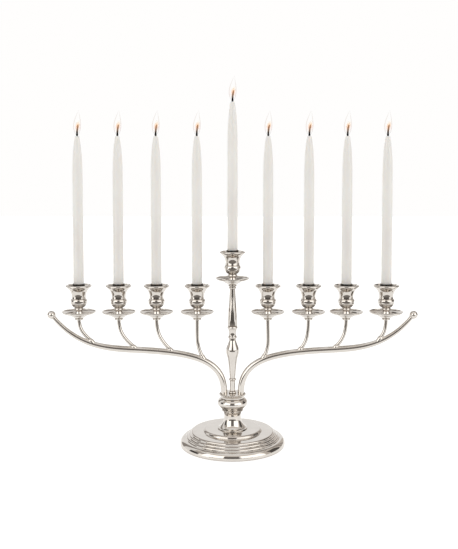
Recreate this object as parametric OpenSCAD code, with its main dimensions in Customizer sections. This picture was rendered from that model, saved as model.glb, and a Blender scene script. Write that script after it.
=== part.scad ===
// Nine-light menorah for taper candles: a turned stem on a stepped round base, two swept
// arms with four brazed branches each, and a taller light in the middle.
// The origin is the middle of the base's underside, +X runs along the arms and +Z is up.

/* [Lights] */
// Steps between lights along an arm, from the middle outwards
light_steps = [43.5, 50, 46.5, 49]; // [42:0.5:60]
// Height of the eight side pans' rims
side_pan_z = 166; // [135:1:200]
// Height of the middle pan's rim
middle_pan_z = 207.5; // [190:0.5:250]
// Radius of a drip pan
pan_r = 20.6; // [17:0.1:20.9]

/* [Candles] */
// Diameter of a candle at its foot
candle_d = 12.7; // [10.5:0.1:15.5]
// Length of a candle without its wick
candle_l = 202; // [120:1:250]
// Gap round a candle in its socket
socket_gap = 0.3; // [0.2:0.05:0.6]
// Length of wick above the wax
wick_l = 14; // [8:1:20]
// How far a candle goes below the pan-side rim of its cup
socket_depth = 20; // [14:0.5:21]

/* [Arms] */
// Diameter of an arm
arm_d = 8; // [6:0.1:10]
// Diameter of an arm where its end ball sits
arm_tip_d = 5; // [4:0.1:6]
// Distance of each arm from the middle where it stands on the hub
arm_root_x = 10.3; // [9:0.1:12]
// How far the end balls stand beyond the outer lights
end_overhang = 34; // [30:1:50]
// Depth of the arms' lowest flat stretch below the side pans' rims
arm_drop = 49.2; // [44:0.2:54]
// Diameter of an end ball
end_ball_d = 10; // [8:0.1:13]
// Diameter of a branch rod
rod_d = 4.5; // [3.8:0.1:5.6]

/* [Stem and base] */
// Diameter of the base
base_d = 129.6; // [118:0.2:160]
// Height of the base's top plate
base_h = 20.2; // [18:0.1:25]
// Wall of the spun base
base_wall = 1.2; // [0.8:0.1:1.5]
// Height of the bell foot of the stem
foot_h = 22; // [19:0.5:27]
// Radius of the stem's knob
knob_r = 18.4; // [17.5:0.1:22]
// Diameter of the tie rod through the stem
tie_d = 4; // [3:0.1:4.8]

/* [Hidden] */
// Fits and fasteners
slip = 0.1;          // radial gap of a stud or rod in a plain hole
thread_gap = 0.03;   // radial gap where a thread is drawn as two plain cylinders
stud_d = 3;
nut_flats = 5.5;
nut_h = 2.4;
tie_nut_flats = 7 / 4 * tie_d;
tie_nut_h = 0.8 * tie_d;
washer_h = 1;

// Holder stack, measured from a pan's rim
pan_dip = 3.2;       // floor of the pan below its rim
pan_wall = 0.9;
pan_floor_r = 9;
pan_seat_r = pan_r - 9; // edge of the ferrule's flange under the pan
ferrule_drop = 10.7; // underside of the ferrule below the pan's rim
ferrule_r = 5.2;
cup_h = 32.4;        // rim of the cup above the pan's rim
cup_lip = 1.3;
cup_dish = 3.4;      // the cup's top dips this far from lip to socket
socket_wall = 0.75;  // ring that stands round the candle's foot
socket_rise = 1.5;   // top of that ring above the cup's rim
socket_r = candle_d / 2 + socket_gap;
candle_z = cup_h - socket_depth;
stud_top = candle_z - 0.4;
socket_floor = stud_top - nut_h - 0.2;

// Candles
candle_tip_r = 2.3;
taper_l = 66;
wick_d = 2;
wick_root = 12;

// Base
felt_t = 1.5;
plate_t = 1.2;
rim_lift = 0.4;
rim_roll_r = 6.6;
rim_tuck = 4;        // the rolled rim's lowest point would be this far below the table
rim_inset = 3.3;     // width of the wired edge that holds the bottom plate
plate_r = base_d / 2 - rim_inset - 0.2;
dish_r = 13;
dish_h = 7;
step_r = 35.9;       // edge of the raised middle of the base
step_round = 2.7;
step_h = 3.2;
ridge_pitch = 3.1;
ridge_count = 3;
ridge_drop = 2.6;
ridge_round = 1.7;
last_ridge_r = base_d / 2 - 7.6;
first_ridge_r = last_ridge_r - ridge_pitch * (ridge_count - 1);
shoulder_z = base_h - 3.3;

// Stem, heights stacked from the base up
knob_z = base_h + foot_h;
knob_h = 17.2;
foot_r = 18.4;
neck_r = 10.3;
neck_z = 16;
knob_roll = 6;
hub_z = knob_z + knob_h;
hub_h = 4.6;
hub_top = hub_z + hub_h;
hub_r = arm_root_x + arm_d / 2 + 0.15;
bead_count = 48;
bead_r = 0.82;
bead_land = 0.1;      // flat left inside and outside the row of beads
bead_ring_r = hub_r + 0.05 + bead_land + bead_r;
collar_h = 3.2;
column_joint = 84.5; // top of the lower column above the hub
column_r = 3.35;
joint_r = 6.1;       // radius of both turnings where they meet
spigot_r = 2;
tie_hold = 13;       // length of tie rod screwed into the column
spigot_l = 8;

// Arms
arm_root_rise = 37;
arm_mid_x = 100.5;
arm_mid_slope = 4;
arm_in = 62;
arm_out = 47;
arm_end_in = 59;
arm_end_slope = 50;
arm_rings = 56;
ball_seat = 4.2;     // an arm's end face from the ball's centre
ball_pin_l = 3;
left_leads = [9, 20, 21, 18];    // how far inward of its light each branch leaves the arm
right_leads = [7, 13, 16, 10];
branch_rings = 22;

// Where the lights stand
function light_x(k) = k == 0 ? light_steps[0] : light_x(k - 1) + light_steps[k];
arm_tip = [light_x(3) + end_overhang, side_pan_z - 4.7];
arm_mid = [arm_mid_x, side_pan_z - arm_drop];
SIDES = [["left", -1, left_leads], ["right", 1, right_leads]];
SIDE_LIGHTS = [for (s = SIDES, k = [0 : 3]) [str(s[0], "_", k + 1), s[1] * light_x(k), side_pan_z]];
LIGHTS = concat([["middle", 0, middle_pan_z]], SIDE_LIGHTS);

// Curves of an outline: a cubic curve, a circular arc and a half-round ring
function bez_at(p, t) = pow(1 - t, 3) * p[0] + 3 * t * pow(1 - t, 2) * p[1]
    + 3 * t * t * (1 - t) * p[2] + pow(t, 3) * p[3];
function bez(p, n = 8) = [for (i = [0 : n]) bez_at(p, i / n)];
function arc(c, r, a0, a1, n = 8) = [for (i = [0 : n]) c + r * [cos(a0 + (a1 - a0) * i / n),
    sin(a0 + (a1 - a0) * i / n)]];
function half_round(r, z, h) = arc([r - h / 2, z], h / 2, -90, 90, 6);

// A turned piece: its outer outline from the bottom up, closed on a bore or on the axis
module turned(outline, bore = 0) {
    last = outline[len(outline) - 1];
    rotate_extrude($fn = 96)
        polygon(concat([[bore, outline[0][1]]], outline, [[bore, last[1]]]));
}

// A round rod swept along a path of [x, z] points, with one radius for each point
module swept(path, radii, sides) {
    n = len(path);
    points = [for (i = [0 : n - 1])
        let (a = path[max(i - 1, 0)], b = path[min(i + 1, n - 1)], t = (b - a) / norm(b - a))
        for (j = [0 : sides - 1])
            let (u = radii[i] * cos(360 * j / sides), v = radii[i] * sin(360 * j / sides))
            [path[i][0] - t[1] * u, v, path[i][1] + t[0] * u]];
    walls = [for (i = [0 : n - 2], j = [0 : sides - 1])
        let (k = (j + 1) % sides)
        [i * sides + j, i * sides + k, (i + 1) * sides + k, (i + 1) * sides + j]];
    start = [for (j = [sides - 1 : -1 : 0]) j];
    end = [for (j = [0 : sides - 1]) (n - 1) * sides + j];
    polyhedron(points = points, faces = concat([start], walls, [end]));
}

module hex_nut(flats, h, bore) {
    difference() {
        cylinder(r = flats / sqrt(3), h = h, $fn = 6);
        translate([0, 0, -1]) cylinder(r = bore, h = h + 2, $fn = 48);
    }
}

// Base
module felt_pad() {
    color("darkgreen") cylinder(r = plate_r, h = felt_t, $fn = 96);
}

module bottom_plate() {
    z = felt_t;
    color("gray") rotate_extrude($fn = 96) polygon([
        [plate_r, z], [plate_r, z + plate_t], [dish_r + plate_t, z + plate_t],
        [dish_r + plate_t - 2, z + dish_h], [tie_d / 2 + slip, z + dish_h],
        [tie_d / 2 + slip, z + dish_h - plate_t], [dish_r - 2, z + dish_h - plate_t], [dish_r, z]]);
}

module base_shell() {
    rim_r = base_d / 2;
    roll = [rim_r - rim_roll_r, rim_roll_r - rim_tuck];
    step_z = base_h - step_h;
    ridges = [for (i = [0 : ridge_count - 1])
        let (r = first_ridge_r + i * ridge_pitch, z = shoulder_z - i * ridge_drop)
        for (p = arc([r - ridge_round, z - ridge_round], ridge_round, 90, 0, 5)) p];
    outer = concat(
        [[tie_d / 2 + slip, base_h]],
        arc([step_r - step_round, base_h - step_round], step_round, 90, 6, 6),
        bez([[step_r + 0.02, step_z + 0.8], [step_r + 0.1, step_z + 0.3],
             [step_r + 0.4, step_z], [step_r + 1.1, step_z]], 4),
        ridges,
        arc(roll, rim_roll_r, 88, -18, 10),
        [[rim_r - 1, rim_lift]]);
    ledge_z = felt_t + plate_t;
    sink = [0.6, 0.7] * base_wall;
    inner = concat(
        [[plate_r + 0.2, rim_lift], [plate_r + 0.2, ledge_z], [plate_r - 1.2, ledge_z],
         [plate_r - 1.2, ledge_z + 1]],
        arc(roll, rim_roll_r - base_wall, 20, 75, 5),
        [[last_ridge_r, shoulder_z - ridge_count * ridge_drop] - sink,
         [first_ridge_r, shoulder_z - ridge_drop] - sink,
         [first_ridge_r - ridge_round - 0.8, shoulder_z - base_wall],
         [step_r, step_z - base_wall], [step_r - 1.6, base_h - base_wall],
         [tie_d / 2 + slip, base_h - base_wall]]);
    color("silver") rotate_extrude($fn = 96) polygon(concat(outer, inner));
}

// Stem
module stem_foot() {
    top = foot_h;
    color("silver") translate([0, 0, base_h]) turned(concat(
        half_round(foot_r, 0.6, 1.2),
        bez([[foot_r - 1, 1.3], [14.2, 2.4], [neck_r, 8], [neck_r, neck_z]], 10),
        bez([[neck_r, neck_z + 0.5], [neck_r + 0.2, top - 3],
             [neck_r + 1, top - 1.2], [neck_r + 2, top]], 5)),
        tie_d / 2 + slip);
}

module stem_knob() {
    ledge_r = neck_r + 3;
    roll = [knob_r - knob_roll, knob_h - 7.1];
    color("silver") translate([0, 0, knob_z]) difference() {
        turned(concat(
            [[neck_r + 2, 0]],
            half_round(ledge_r, 0.8, 1.2),
            [[ledge_r - 0.2, 1.7]],
            arc(roll, knob_roll, -58, 58, 12),
            [[hub_r - 0.3, knob_h - 1], [hub_r + 0.1, knob_h - 0.6], [hub_r + 0.1, knob_h]]),
            tie_d / 2 + slip);
        for (s = [-1, 1]) translate([s * arm_root_x, 0, knob_h - 4])
            cylinder(r = nut_flats / sqrt(3) + 0.3, h = 5, $fn = 48);
    }
}

module beaded_collar() {
    r = bead_ring_r;
    color("silver") translate([0, 0, hub_z]) {
        rotate_extrude($fn = 96) polygon(concat(
            [[hub_r + 0.05, 0], [hub_r + 0.5, 0]],
            bez([[hub_r + 0.5, 0], [hub_r + 0.6, 1.2],
                 [r + 0.4, 1.8], [r + bead_r + bead_land, collar_h]], 4),
            [[hub_r + 0.05, collar_h]]));
        for (i = [0 : bead_count - 1]) rotate(360 * i / bead_count)
            translate([r, 0, collar_h + 0.2]) sphere(r = bead_r, $fn = 20);
    }
}

module hub_cap() {
    color("silver") translate([0, 0, hub_z]) difference() {
        cylinder(r = hub_r, h = hub_h, $fn = 96);
        translate([0, 0, -1]) cylinder(r = tie_d / 2 + slip, h = hub_h + 2, $fn = 48);
        for (s = [-1, 1]) translate([s * arm_root_x, 0, -1])
            cylinder(r = stud_d / 2 + slip, h = hub_h + 2, $fn = 48);
    }
}

module tie_rod() {
    bottom = felt_t + 1;
    length = hub_top + tie_hold - bottom;
    color("darkgray") translate([0, 0, bottom]) cylinder(d = tie_d, h = length, $fn = 48);
}

// Hexagon nut with its washer, in the dish of the bottom plate
module tie_nut() {
    seat = felt_t + dish_h - plate_t;
    color("darkgray") {
        translate([0, 0, seat - washer_h]) difference() {
            cylinder(r = tie_nut_flats * 0.8, h = washer_h, $fn = 48);
            translate([0, 0, -1]) cylinder(r = tie_d / 2 + slip, h = washer_h + 2, $fn = 48);
        }
        translate([0, 0, seat - washer_h - tie_nut_h])
            hex_nut(tie_nut_flats, tie_nut_h, tie_d / 2 + thread_gap);
    }
}

module column_lower() {
    color("silver") translate([0, 0, hub_top]) difference() {
        union() {
            turned(concat(
                half_round(4.8, 1.1, 2.2),
                [[column_r, 2.4], [column_r, 15.6]],
                half_round(4.5, 17, 2.4),
                [[column_r, 18.4]],
                bez([[column_r, 19.4], [4.3, 30], [5, 38], [6.2, 44]], 6),
                bez([[6.2, 44], [7.2, 47], [8, 49.5], [8, 53]], 5),
                bez([[8, 53], [8, 58], [5.1, 60.5], [4.4, 65.8]], 6),
                half_round(5.5, 69.6, 2.6),
                bez([[4.8, 71.2], [4.4, 74], [4.4, 76.5], [5.1, 78.6]], 4),
                arc([joint_r - 2.2, column_joint - 2.9], 2.4, -50, 62, 8),
                [[joint_r, column_joint - 0.4], [joint_r, column_joint]]));
            translate([0, 0, column_joint - 1]) cylinder(r = spigot_r, h = spigot_l + 1, $fn = 48);
        }
        translate([0, 0, -1]) cylinder(r = tie_d / 2 + thread_gap, h = tie_hold + 2, $fn = 48);
    }
}

module column_upper() {
    top = middle_pan_z - ferrule_drop;
    bottom = hub_top + column_joint;
    color("silver") difference() {
        union() {
            turned(concat(
                [[joint_r, bottom]],
                bez([[joint_r, bottom + 2], [joint_r - 0.5, bottom + 15],
                     [4, top - 20], [3.3, top - 3.6]], 8),
                half_round(4.6, top - 1.9, 2.6),
                [[4.2, top]]));
            translate([0, 0, top - 1]) cylinder(d = stud_d, h = ferrule_drop + stud_top + 1, $fn = 48);
        }
        translate([0, 0, bottom - 1]) cylinder(r = spigot_r + thread_gap, h = spigot_l + 1.5, $fn = 48);
    }
}

// Arms
function arm_curves() = [
    [[arm_root_x, hub_top], [arm_root_x, hub_top + arm_root_rise],
     arm_mid - arm_in * [1, tan(arm_mid_slope)], arm_mid],
    [arm_mid, arm_mid + arm_out * [1, tan(arm_mid_slope)],
     arm_tip - arm_end_in * [cos(arm_end_slope), sin(arm_end_slope)], arm_end()]];
function arm_dir() = [cos(arm_end_slope), sin(arm_end_slope)];
function arm_end() = arm_tip - ball_seat * arm_dir();
function arm_at(u) = u < 1 ? bez_at(arm_curves()[0], u) : bez_at(arm_curves()[1], u - 1);
// The place on the arm's middle line at a given x, by halving
function arm_u(x, lo = 0, hi = 2, n = 30) = n == 0 ? (lo + hi) / 2
    : arm_at((lo + hi) / 2)[0] < x ? arm_u(x, (lo + hi) / 2, hi, n - 1)
    : arm_u(x, lo, (lo + hi) / 2, n - 1);

module arm() {
    path = [for (i = [0 : arm_rings]) arm_at(2 * i / arm_rings)];
    radii = [for (i = [0 : arm_rings]) let (u = 2 * i / arm_rings)
        (u < 1.3 ? arm_d : arm_d + (arm_tip_d - arm_d) * (u - 1.3) / 0.7) / 2];
    swept(path, radii, 16);
    translate([arm_root_x, 0, hub_z - nut_h - 0.6]) cylinder(d = stud_d, h = hub_h + nut_h + 1.6, $fn = 48);
    translate([arm_end()[0], 0, arm_end()[1]]) rotate([0, 90 - arm_end_slope, 0])
        translate([0, 0, -2]) cylinder(d = stud_d, h = ball_pin_l + 2, $fn = 48);
}

module left_arm() {
    color("silver") mirror([1, 0, 0]) arm();
}

module right_arm() {
    color("silver") arm();
}

module arm_end_balls() {
    color("silver") for (s = [0, 1]) mirror([s, 0, 0]) translate([arm_tip[0], 0, arm_tip[1]])
        difference() {
            sphere(d = end_ball_d, $fn = 48);
            rotate([0, 90 - arm_end_slope, 0]) {
                translate([0, 0, -end_ball_d])
                    cylinder(d = arm_tip_d + 0.1, h = end_ball_d - ball_seat, $fn = 48);
                translate([0, 0, -end_ball_d]) cylinder(r = stud_d / 2 + thread_gap,
                    h = end_ball_d - ball_seat + ball_pin_l + 0.2, $fn = 48);
            }
        }
}

// A branch rod, from inside the arm up to its ferrule, with a threaded stud on top
module branch(k, lead) {
    top = [light_x(k), side_pan_z - ferrule_drop];
    u = arm_u(top[0] - lead);
    foot = arm_at(u);
    along = (arm_at(u + 0.01) - foot) / norm(arm_at(u + 0.01) - foot);
    lean = (along + [0, 1.1]) / norm(along + [0, 1.1]);
    rise = top[1] - foot[1];
    path = bez([foot, foot + 0.4 * rise * lean, top - [0, 0.55 * rise], top], branch_rings);
    swept(path, [for (p = path) rod_d / 2], 12);
    translate([top[0], 0, top[1] - 2]) cylinder(d = stud_d, h = ferrule_drop + stud_top + 2, $fn = 48);
}

// Holders: ferrule, pan, cup and nut are stacked on a stud
module pan_ferrules() {
    top = -pan_dip - pan_wall;
    color("silver") for (l = LIGHTS) translate([l[1], 0, l[2]]) turned(concat(
        half_round(ferrule_r, 0.9 - ferrule_drop, 1.8),
        bez([[ferrule_r, 2 - ferrule_drop], [ferrule_r + 1.2, 2.8 - ferrule_drop],
             [pan_seat_r - 2.8, 4 - ferrule_drop], [pan_seat_r, top - 0.5]], 6),
        [[pan_seat_r, top]]), stud_d / 2 + slip);
}

module pan() {
    floor_z = -pan_dip;
    under_z = floor_z - pan_wall;
    turned(concat(
        [[pan_seat_r + 0.2, under_z]],
        bez([[pan_r - 8, under_z + 0.1], [pan_r - 3.6, under_z + 0.3],
             [pan_r - 0.9, -2.6], [pan_r, -0.9]], 6),
        [[pan_r, -0.1], [pan_r - 0.5, 0]],
        bez([[pan_r - 0.9, -0.1], [pan_r - 1.9, -2.3],
             [pan_r - 4.6, floor_z + 0.2], [pan_floor_r, floor_z]], 6)),
        stud_d / 2 + slip);
}

module cup() {
    waist_r = socket_r + 1.95;
    waist_z = cup_h - 14.4;
    rim_r = waist_r + 7.1;
    flare = 13.6;
    flare_rise = 11.2;
    bulb_r = waist_r + 1.4;
    dish_z = cup_h - cup_dish;
    color("silver") difference() {
        turned(concat(
            [[5.2, -pan_dip], [4.7, -pan_dip + 1.4], [4.2, -0.2]],
            arc([3.5, 2.6], 2.3, -75, 70, 8),
            bez([[waist_r - 2.7, 4.9], [waist_r - 1, 5.9], [bulb_r - 0.1, 8.2], [bulb_r, 11.8]], 8),
            bez([[bulb_r, 12.6], [bulb_r, 14.4], [waist_r + 0.7, 14.9], [waist_r + 0.1, 15.4]], 4),
            arc([waist_r + flare, waist_z], flare, 180, 180 - asin(flare_rise / flare), 10),
            arc([rim_r - cup_lip, cup_h - cup_lip], cup_lip, -40, 90, 5),
            bez([[rim_r - 1.5, cup_h - 0.1], [rim_r - 2.3, cup_h - 1.6], [rim_r - 3.6, dish_z + 0.2],
                 [socket_r + 3, dish_z]], 6),
            [[socket_r + socket_wall, dish_z],
             [socket_r + socket_wall, cup_h + socket_rise - 0.3],
             [socket_r + socket_wall - 0.3, cup_h + socket_rise]]));
        translate([0, 0, socket_floor]) cylinder(r = socket_r, h = cup_h, $fn = 64);
        translate([0, 0, -pan_dip - 1]) cylinder(r = stud_d / 2 + slip, h = cup_h, $fn = 48);
    }
}

// The nine cup nuts, and the two that hold the arms' studs under the hub
module m3_nuts() {
    color("darkgray") {
        for (l = LIGHTS) translate([l[1], 0, l[2] + socket_floor])
            hex_nut(nut_flats, nut_h, stud_d / 2 + thread_gap);
        for (s = [-1, 1]) translate([s * arm_root_x, 0, hub_z - nut_h])
            hex_nut(nut_flats, nut_h, stud_d / 2 + thread_gap);
    }
}

module candle() {
    top = candle_z + candle_l;
    body_r = candle_d / 2;
    color("ivory") difference() {
        turned(concat(
            [[body_r - 0.4, candle_z], [body_r, candle_z + 0.6], [body_r - 0.15, top - taper_l]],
            bez([[body_r - 0.15, top - taper_l], [body_r - 0.2, top - 0.64 * taper_l],
                 [candle_tip_r + 2.4, top - 0.36 * taper_l], [candle_tip_r, top - 0.6]], 12),
            [[candle_tip_r - 0.6, top]]));
        translate([0, 0, top - wick_root])
            cylinder(r = wick_d / 2 + thread_gap, h = wick_root + 1, $fn = 32);
    }
}

module wick() {
    color("black") translate([0, 0, candle_z + candle_l - wick_root])
        cylinder(d = wick_d, h = wick_root + wick_l, $fn = 32);
}

felt_pad();
bottom_plate();
base_shell();
stem_foot();
stem_knob();
beaded_collar();
hub_cap();
tie_rod();
tie_nut();
column_lower();
column_upper();
left_arm();
right_arm();
arm_end_balls();
pan_ferrules();
m3_nuts();
for (s = SIDES, k = [0 : 3])
    color("silver") mirror([s[1] < 0 ? 1 : 0, 0, 0]) branch(k, s[2][k]);
for (l = LIGHTS) {
    translate([l[1], 0, l[2]]) color("silver") pan();
    translate([l[1], 0, l[2]]) cup();
    translate([l[1], 0, l[2]]) candle();
    translate([l[1], 0, l[2]]) wick();
}
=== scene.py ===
# %% [markdown]
# # A nine-light menorah in bright nickel plate
#
# The real object is turned and bent brass. A stepped round base carries a turned stem, two swept
# arms rise out of its beaded hub with four brazed branches each, and a taller column stands in the
# middle. Every light is a stack: ferrule, drip pan, flared cup, taper candle.
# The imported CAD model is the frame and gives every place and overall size. The turned pieces are
# built again with fine outlines, because polished metal shows every facet, and the finish is made
# from nodes. The fine outlines, the finish and the studio were adjusted until the picture looked
# right from the front.

import bisect
import math

import bmesh
import bpy
from mathutils import Euler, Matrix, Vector


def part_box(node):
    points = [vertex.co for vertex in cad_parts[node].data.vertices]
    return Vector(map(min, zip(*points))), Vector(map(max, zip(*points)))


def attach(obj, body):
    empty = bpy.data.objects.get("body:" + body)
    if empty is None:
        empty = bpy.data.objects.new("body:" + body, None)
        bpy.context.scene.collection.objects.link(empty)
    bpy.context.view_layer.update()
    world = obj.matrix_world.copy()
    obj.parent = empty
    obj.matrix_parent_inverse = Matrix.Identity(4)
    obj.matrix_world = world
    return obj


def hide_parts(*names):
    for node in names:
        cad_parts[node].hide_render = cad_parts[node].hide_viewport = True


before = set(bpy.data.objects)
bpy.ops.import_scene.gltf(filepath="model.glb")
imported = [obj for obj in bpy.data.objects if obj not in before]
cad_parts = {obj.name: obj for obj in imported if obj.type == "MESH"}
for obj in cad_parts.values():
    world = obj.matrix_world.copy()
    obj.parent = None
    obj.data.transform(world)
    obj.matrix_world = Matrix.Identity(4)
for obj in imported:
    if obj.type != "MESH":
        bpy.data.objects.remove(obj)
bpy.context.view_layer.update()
MM = 0.001

# %% [markdown]
# ## Colours and nodes
#
# Paint and metal charts give colours as hex values, which are sRGB. Shaders count light in linear
# steps, so one function turns a hex value to linear. A second small function adds a shader node
# with its settings and its links. Every material below is made with these two.


# %% Two helpers for every material
def linear(hex_colour):
    parts = [int(hex_colour[i : i + 2], 16) / 255 for i in (1, 3, 5)]
    return tuple(c / 12.92 if c <= 0.04045 else ((c + 0.055) / 1.055) ** 2.4 for c in parts) + (1,)


def add(material, kind, settings=None, links=None):
    """One node: settings go on its properties or its sockets, links come from other nodes' sockets."""
    node = material.node_tree.nodes.new(kind)
    for key, value in (settings or {}).items():
        if isinstance(key, str) and hasattr(node, key):
            setattr(node, key, value)
        else:
            node.inputs[key].default_value = value
    for key, socket in (links or {}).items():
        material.node_tree.links.new(socket, node.inputs[key])
    return node


def new_material(name):
    material = bpy.data.materials.new(name)
    material.use_nodes = True
    material.node_tree.nodes.clear()
    return material


def stops(ramp, *pairs):
    """The colours of a colour ramp: (place, colour) pairs."""
    elements = ramp.color_ramp.elements
    for place, colour in pairs[2:]:
        elements.new(place)
    for element, (place, colour) in zip(elements, sorted(pairs, key=lambda p: p[0])):
        element.position = place
        element.color = colour
    return ramp


print("white in linear light:", linear("#ffffff")[:3])

# %% [markdown]
# ## Bright nickel plate
#
# The pieces are brass, mopped on a buffing wheel and plated with bright nickel. Nickel reflects a
# little less blue than silver, so white surroundings come back as a warm light grey. The eye gets
# two more things: the mop leaves the surface faintly wavy, so that reflections wobble, and polish
# varies a little from place to place. The grooves get painted shade, a brown that darkens and dulls
# them more the deeper they are. The groove depth is measured on the mesh below and stored as an attribute.

# %% Nickel
POLISH_PATCH_MM = 14  # how far apart well and less polished patches are
MOP_WAVE_MM = 17  # length of the faint waves left by the buffing wheel
MOP_WAVE_DEPTH_MM = 0.018
BUFF_LINE_MM = 0.7  # real buffing lines are a tenth of this and would not show


def nickel_plate():
    m = new_material("bright_nickel_plate_on_brass")
    place = add(m, "ShaderNodeTexCoord").outputs["Object"]
    patch = add(
        m, "ShaderNodeTexNoise", {"Scale": 1 / (POLISH_PATCH_MM * MM), "Detail": 3.0}, {"Vector": place},
    )
    fine = add(m, "ShaderNodeTexNoise", {"Scale": 1 / (BUFF_LINE_MM * MM), "Detail": 2.0}, {"Vector": place})
    groove = add(m, "ShaderNodeAttribute", {"attribute_name": "groove"})
    broken = add(
        m, "ShaderNodeMath", {"operation": "MULTIPLY_ADD", 1: 0.5, 2: 0.62}, {0: patch.outputs["Fac"]},
    )
    # Painted shade in the grooves: groove depth, broken up by the patch noise, mixes in dark brown and more
    # roughness.
    painted_groove_shade = add(
        m, "ShaderNodeMath", {"operation": "MULTIPLY", "use_clamp": True},
        {0: groove.outputs["Fac"], 1: broken.outputs[0]},
    )
    clean = stops(
        add(m, "ShaderNodeValToRGB", links={"Fac": patch.outputs["Fac"]}),
        (0.30, linear("#cfcac4")), (0.70, linear("#d7d2cc")),
    )
    colour = add(
        m, "ShaderNodeMix", {"data_type": "RGBA", 7: linear("#857468")},
        {0: painted_groove_shade.outputs[0], 6: clean.outputs["Color"]},
    )
    polish = add(
        m, "ShaderNodeMapRange", {"From Min": 0.3, "From Max": 0.7, "To Min": 0.035, "To Max": 0.085},
        {"Value": patch.outputs["Fac"]},
    )
    dull = add(
        m, "ShaderNodeMath", {"operation": "MULTIPLY_ADD", 1: 0.22},
        {0: painted_groove_shade.outputs[0], 2: polish.outputs[0]},
    )
    wave = add(m, "ShaderNodeTexNoise", {"Scale": 1 / (MOP_WAVE_MM * MM), "Detail": 1.0}, {"Vector": place})
    lines = add(
        m, "ShaderNodeBump", {"Strength": 0.015, "Distance": 0.01 * MM}, {"Height": fine.outputs["Fac"]},
    )
    bump = add(
        m, "ShaderNodeBump", {"Strength": 1.0, "Distance": MOP_WAVE_DEPTH_MM * MM},
        {"Height": wave.outputs["Fac"], "Normal": lines.outputs["Normal"]},
    )
    surface = add(
        m, "ShaderNodeBsdfPrincipled", {"Metallic": 1.0},
        {"Base Color": colour.outputs[2], "Roughness": dull.outputs[0], "Normal": bump.outputs["Normal"]},
    )
    add(m, "ShaderNodeOutputMaterial", links={"Surface": surface.outputs[0]})
    return m


NICKEL = nickel_plate()
print("made", NICKEL.name)

# %% [markdown]
# ## The hidden metal, the felt and the socket ring's painted shade
#
# Under the base are a pressed steel plate and the tie rod that pulls the whole stem together.
# They are zinc plated: a cool grey with fine crystal flecks. The foot is a disc of green wool
# felt, whose short loose fibres scatter light, so it gets sheen and a fibre bump. The ring round
# each candle's foot is painted shade: a dull dark layer over the metal stands for the shade in the
# hole between candle and socket.

# %% Zinc, felt and the socket ring's painted shade
ZINC_FLECK_MM = 1.3
FELT_FIBRE_MM = 0.6  # wool fibres are 0.03 mm thick and show only where they clump


def zinc_plate():
    m = new_material("zinc_plated_steel")
    place = add(m, "ShaderNodeTexCoord").outputs["Object"]
    fleck = add(m, "ShaderNodeTexVoronoi", {"Scale": 1 / (ZINC_FLECK_MM * MM)}, {"Vector": place})
    tone = stops(
        add(m, "ShaderNodeValToRGB", links={"Fac": fleck.outputs["Color"]}),
        (0.2, linear("#a9adb2")), (0.8, linear("#c3c6c9")),
    )
    rough = add(
        m, "ShaderNodeMapRange", {"To Min": 0.24, "To Max": 0.38}, {"Value": fleck.outputs["Distance"]},
    )
    surface = add(
        m, "ShaderNodeBsdfPrincipled", {"Metallic": 1.0},
        {"Base Color": tone.outputs["Color"], "Roughness": rough.outputs[0]},
    )
    add(m, "ShaderNodeOutputMaterial", links={"Surface": surface.outputs[0]})
    return m


def wool_felt():
    m = new_material("green_wool_felt")
    place = add(m, "ShaderNodeTexCoord").outputs["Object"]
    fibre = add(
        m, "ShaderNodeTexNoise", {"Scale": 1 / (FELT_FIBRE_MM * MM), "Detail": 4.0, "Distortion": 1.2},
        {"Vector": place},
    )
    tone = stops(
        add(m, "ShaderNodeValToRGB", links={"Fac": fibre.outputs["Fac"]}),
        (0.3, linear("#1d3a2a")), (0.7, linear("#35573f")),
    )
    bump = add(m, "ShaderNodeBump", {"Strength": 0.6, "Distance": 0.2 * MM}, {"Height": fibre.outputs["Fac"]})
    surface = add(
        m, "ShaderNodeBsdfPrincipled",
        {"Roughness": 0.95, "Sheen Weight": 0.4, "Sheen Roughness": 0.5, "Sheen Tint": linear("#7d9a83")},
        {"Base Color": tone.outputs["Color"], "Normal": bump.outputs["Normal"]},
    )
    add(m, "ShaderNodeOutputMaterial", links={"Surface": surface.outputs[0]})
    return m


# Painted shade: the dark tones stand for the shade in the socket's hole round the candle.
def painted_shade_socket_ring():
    m = new_material("socket_ring_painted_shade")
    place = add(m, "ShaderNodeTexCoord").outputs["Object"]
    layer = add(m, "ShaderNodeTexNoise", {"Scale": 1 / (1.6 * MM), "Detail": 4.0}, {"Vector": place})
    tone = stops(
        add(m, "ShaderNodeValToRGB", links={"Fac": layer.outputs["Fac"]}),
        (0.35, linear("#1c1815")), (0.75, linear("#4a3f36")),
    )
    rough = add(m, "ShaderNodeMapRange", {"To Min": 0.32, "To Max": 0.6}, {"Value": layer.outputs["Fac"]})
    surface = add(
        m, "ShaderNodeBsdfPrincipled", {"Metallic": 0.35},
        {"Base Color": tone.outputs["Color"], "Roughness": rough.outputs[0]},
    )
    add(m, "ShaderNodeOutputMaterial", links={"Surface": surface.outputs[0]})
    return m


ZINC, FELT, SOCKET_RING_SHADE = zinc_plate(), wool_felt(), painted_shade_socket_ring()
print("made", ZINC.name, FELT.name, SOCKET_RING_SHADE.name)

# %% [markdown]
# ## Outlines
#
# A lathe hand thinks in outlines: straight lands, rings, coves and curves. Three functions give
# the same kinds of line, as lists of (radius, height) points in millimetres: a cubic curve, an arc
# and a half-round ring.


# %% Curves of an outline
def curve(p, n=18):
    out = []
    for i in range(n + 1):
        t = i / n
        w = ((1 - t) ** 3, 3 * t * (1 - t) ** 2, 3 * t * t * (1 - t), t**3)
        out.append(tuple(sum(k * q[a] for k, q in zip(w, p)) for a in (0, 1)))
    return out


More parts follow.
